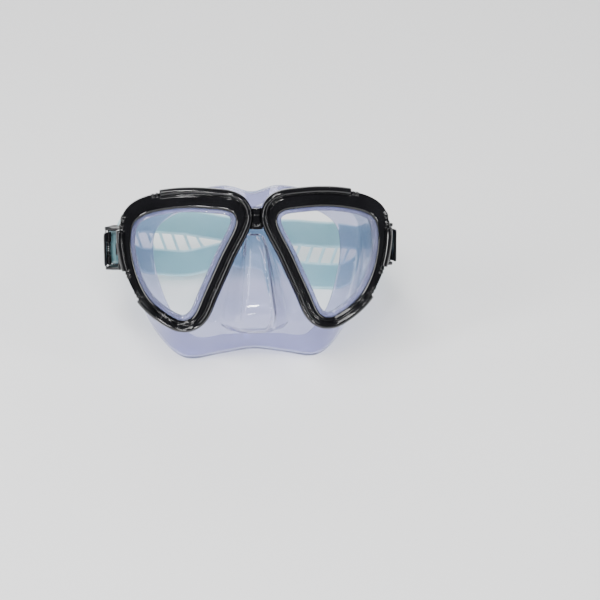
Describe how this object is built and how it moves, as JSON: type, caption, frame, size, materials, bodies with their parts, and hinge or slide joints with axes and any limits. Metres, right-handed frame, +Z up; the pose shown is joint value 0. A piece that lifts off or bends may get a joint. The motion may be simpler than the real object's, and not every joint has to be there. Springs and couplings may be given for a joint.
{
  "type": "snorkel mask",
  "caption": "Two-window snorkelling mask with a black frame, clear skirt with nose pocket, swivelling strap buckles and a split head strap, leaning back on the strap.",
  "frame": {"origin": "middle of the footprint's box, on the surface the mask rests on", "axes": "+X towards the wearer's left, -Y the way the windows face, +Z up; the mask leans back by 33 degrees"},
  "size_m": [0.1794, 0.1146, 0.1113],
  "materials": {
    "black_shell": "glossy black moulding",
    "black_moulding": "satin black moulding",
    "window_glass": "clear tempered glass",
    "clear_silicone": "clear silicone with a faint lavender tint",
    "blue_silicone": "pale blue translucent silicone",
    "steel": "stainless steel pins and springs"
  },
  "bodies": {
    "mask": {"main_frame": "black_shell", "bezel_left": "black_shell", "bezel_right": "black_shell", "bridge_cover": "black_moulding", "lens_left": "window_glass", "lens_right": "window_glass", "skirt": "clear_silicone", "pivot_stud_left": "black_moulding", "pivot_stud_right": "black_moulding"},
    "harness": {"buckle_body_left": "black_moulding", "buckle_body_right": "black_moulding", "roller_axle_left": "steel", "roller_axle_right": "steel", "lever_pin_left": "steel", "lever_pin_right": "steel", "lever_spring_left": "steel", "lever_spring_right": "steel", "head_strap": "blue_silicone"},
    "roller_left": {"strap_roller_left": "black_moulding"},
    "roller_right": {"strap_roller_right": "black_moulding"},
    "lever_left": {"release_lever_left": "black_moulding"},
    "lever_right": {"release_lever_right": "black_moulding"},
    "keeper_left": {"strap_keeper_left": "blue_silicone"},
    "keeper_right": {"strap_keeper_right": "blue_silicone"}
  },
  "joints": [
    {"name": "strap_swing", "type": "hinge", "parent": "mask", "child": "harness", "pos_m": [0, -0.00559, 0.0627], "axis": [1, 0, 0], "range_deg": [-20, 45]},
    {"name": "roller_spin_left", "type": "hinge", "parent": "harness", "child": "roller_left", "pos_m": [0.083, 0.007, 0.05455], "axis": [0, 0.5432, 0.8396], "continuous": true},
    {"name": "roller_spin_right", "type": "hinge", "parent": "harness", "child": "roller_right", "pos_m": [-0.083, 0.007, 0.05455], "axis": [0, 0.5432, 0.8396], "continuous": true},
    {"name": "lever_press_left", "type": "hinge", "parent": "harness", "child": "lever_left", "pos_m": [0.0872, -0.00013, 0.05917], "axis": [0, -0.5432, -0.8396], "range_deg": [0, 18], "stiffness_Nm_per_rad": 0.05, "springref_deg": -28.65},
    {"name": "lever_press_right", "type": "hinge", "parent": "harness", "child": "lever_right", "pos_m": [-0.0872, -0.00013, 0.05917], "axis": [0, 0.5432, 0.8396], "range_deg": [0, 18], "stiffness_Nm_per_rad": 0.05, "springref_deg": -28.65},
    {"name": "keeper_slide_left", "type": "slide", "parent": "harness", "child": "keeper_left", "axis": [0, 0.8396, -0.5432], "range_m": [0, 0.005]},
    {"name": "keeper_slide_right", "type": "slide", "parent": "harness", "child": "keeper_right", "axis": [0, 0.8396, -0.5432], "range_m": [0, 0.005]}
  ]
}
